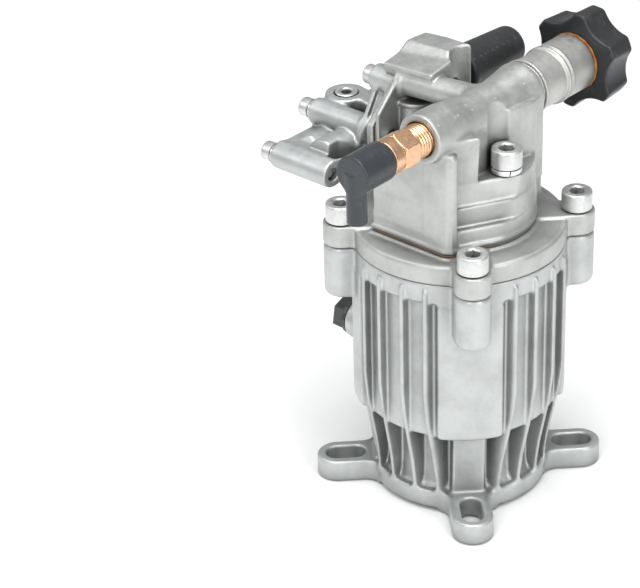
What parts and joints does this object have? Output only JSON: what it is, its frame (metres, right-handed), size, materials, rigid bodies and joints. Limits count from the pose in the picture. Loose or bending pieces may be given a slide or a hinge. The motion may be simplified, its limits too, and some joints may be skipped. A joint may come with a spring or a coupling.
{
  "type": "pressure washer pump",
  "caption": "Upright finned axial piston pump with a slotted-ear engine flange, swivel hose inlet, thermal relief valve and a side outlet manifold.",
  "frame": {"origin": "centre of the pump's extents in plan, on the plane of the flange pads that meet the engine", "axes": "+Z along the drive shaft, from the engine flange up to the head; +Y towards the hose inlet; the outlet manifold is on the -X side"},
  "size_m": [0.1282, 0.1586, 0.1967],
  "materials": {
    "cast_aluminium": "sand cast, satin",
    "zinc_steel": "zinc plated",
    "ground_steel": "ground",
    "spring_steel": "drawn",
    "brass": "turned",
    "black_plastic": "satin",
    "black_rubber": "satin",
    "gasket_paper": "matt fibre sheet",
    "ring_amber": "satin",
    "filter_mesh": "woven wire"
  },
  "bodies": {
    "housing": {"crankcase": "cast_aluminium", "guide_flange": "cast_aluminium", "pump_head": "cast_aluminium", "manifold": "cast_aluminium", "inlet_neck": "cast_aluminium", "case_bolt_1": "zinc_steel", "case_bolt_2": "zinc_steel", "case_bolt_3": "zinc_steel", "case_bolt_4": "zinc_steel", "head_bolt_1": "zinc_steel", "head_bolt_2": "zinc_steel", "head_bolt_3": "zinc_steel", "head_spring_washer_1": "zinc_steel", "head_spring_washer_2": "zinc_steel", "head_spring_washer_3": "zinc_steel", "manifold_screw_1": "zinc_steel", "manifold_screw_2": "zinc_steel", "manifold_screw_3": "zinc_steel", "manifold_washer_1": "zinc_steel", "manifold_washer_2": "zinc_steel", "manifold_washer_3": "zinc_steel", "manifold_plug": "zinc_steel", "bearing_outer_race": "ground_steel", "valve_seat_1": "ground_steel", "valve_seat_2": "ground_steel", "valve_seat_3": "ground_steel", "piston_spring_1": "spring_steel", "piston_spring_2": "spring_steel", "piston_spring_3": "spring_steel", "outlet_connector": "brass", "thermal_valve_body": "brass", "oil_plug": "black_plastic", "shaft_oil_seal": "black_rubber", "hose_washer": "black_rubber", "thermal_valve_cap": "black_rubber", "piston_seal_1": "black_rubber", "piston_seal_2": "black_rubber", "piston_seal_3": "black_rubber", "head_gasket": "gasket_paper", "manifold_gasket": "gasket_paper", "inlet_seal_ring": "ring_amber", "inlet_filter": "filter_mesh"},
    "shaft": {"drive_shaft": "ground_steel", "swash_plate": "ground_steel", "thrust_needle_cage": "spring_steel", "thrust_race": "ground_steel", "bearing_inner_race": "ground_steel"},
    "ball_cage": {"bearing_ball_cage": "ground_steel"},
    "regulator_spindle": {"regulator_stem": "zinc_steel"},
    "regulator_handle": {"regulator_knob": "black_plastic"},
    "hose_nut": {"inlet_hose_nut": "black_plastic"},
    "piston_group_1": {"piston_1": "ground_steel", "spring_retainer_1": "spring_steel"},
    "valve_1": {"valve_poppet_1": "ground_steel"},
    "piston_group_2": {"piston_2": "ground_steel", "spring_retainer_2": "spring_steel"},
    "valve_2": {"valve_poppet_2": "ground_steel"},
    "piston_group_3": {"piston_3": "ground_steel", "spring_retainer_3": "spring_steel"},
    "valve_3": {"valve_poppet_3": "ground_steel"}
  },
  "joints": [
    {"name": "shaft_spin", "type": "hinge", "parent": "housing", "child": "shaft", "pos_m": [0.01731, -0.00003, 0], "axis": [0, 0, 1], "continuous": true},
    {"name": "bearing_cage_spin", "type": "hinge", "parent": "housing", "child": "ball_cage", "pos_m": [0.01731, -0.00003, 0.0218], "axis": [0, 0, 1], "continuous": true},
    {"name": "piston_1_slide", "type": "slide", "parent": "housing", "child": "piston_group_1", "axis": [0, 0, 1], "range_m": [0, 0.008], "deforming": ["piston_spring_1"]},
    {"name": "piston_2_slide", "type": "slide", "parent": "housing", "child": "piston_group_2", "axis": [0, 0, 1], "range_m": [0, 0.008], "deforming": ["piston_spring_2"]},
    {"name": "piston_3_slide", "type": "slide", "parent": "housing", "child": "piston_group_3", "axis": [0, 0, 1], "range_m": [0, 0.008], "deforming": ["piston_spring_3"]},
    {"name": "valve_1_lift", "type": "slide", "parent": "housing", "child": "valve_1", "axis": [0, 0, 1], "range_m": [0, 0.0015]},
    {"name": "valve_2_lift", "type": "slide", "parent": "housing", "child": "valve_2", "axis": [0, 0, 1], "range_m": [0, 0.0015]},
    {"name": "valve_3_lift", "type": "slide", "parent": "housing", "child": "valve_3", "axis": [0, 0, 1], "range_m": [0, 0.0015]},
    {"name": "regulator_advance", "type": "slide", "parent": "housing", "child": "regulator_spindle", "axis": [0, -1, 0], "range_m": [0, 0.0025]},
    {"name": "regulator_turn", "type": "hinge", "parent": "regulator_spindle", "child": "regulator_handle", "pos_m": [-0.00919, 0.02877, 0.1712], "axis": [0, -1, 0], "range_deg": [0, 720]},
    {"name": "hose_nut_spin", "type": "hinge", "parent": "housing", "child": "hose_nut", "pos_m": [0.02731, 0.06427, 0.175], "axis": [0, 1, 0], "continuous": true}
  ],
  "couplings": [
    {"joint": "bearing_cage_spin", "follows": "shaft_spin", "ratio": 0.40588},
    {"joint": "regulator_turn", "follows": "regulator_advance", "rad_per_m": 5026.5}
  ]
}
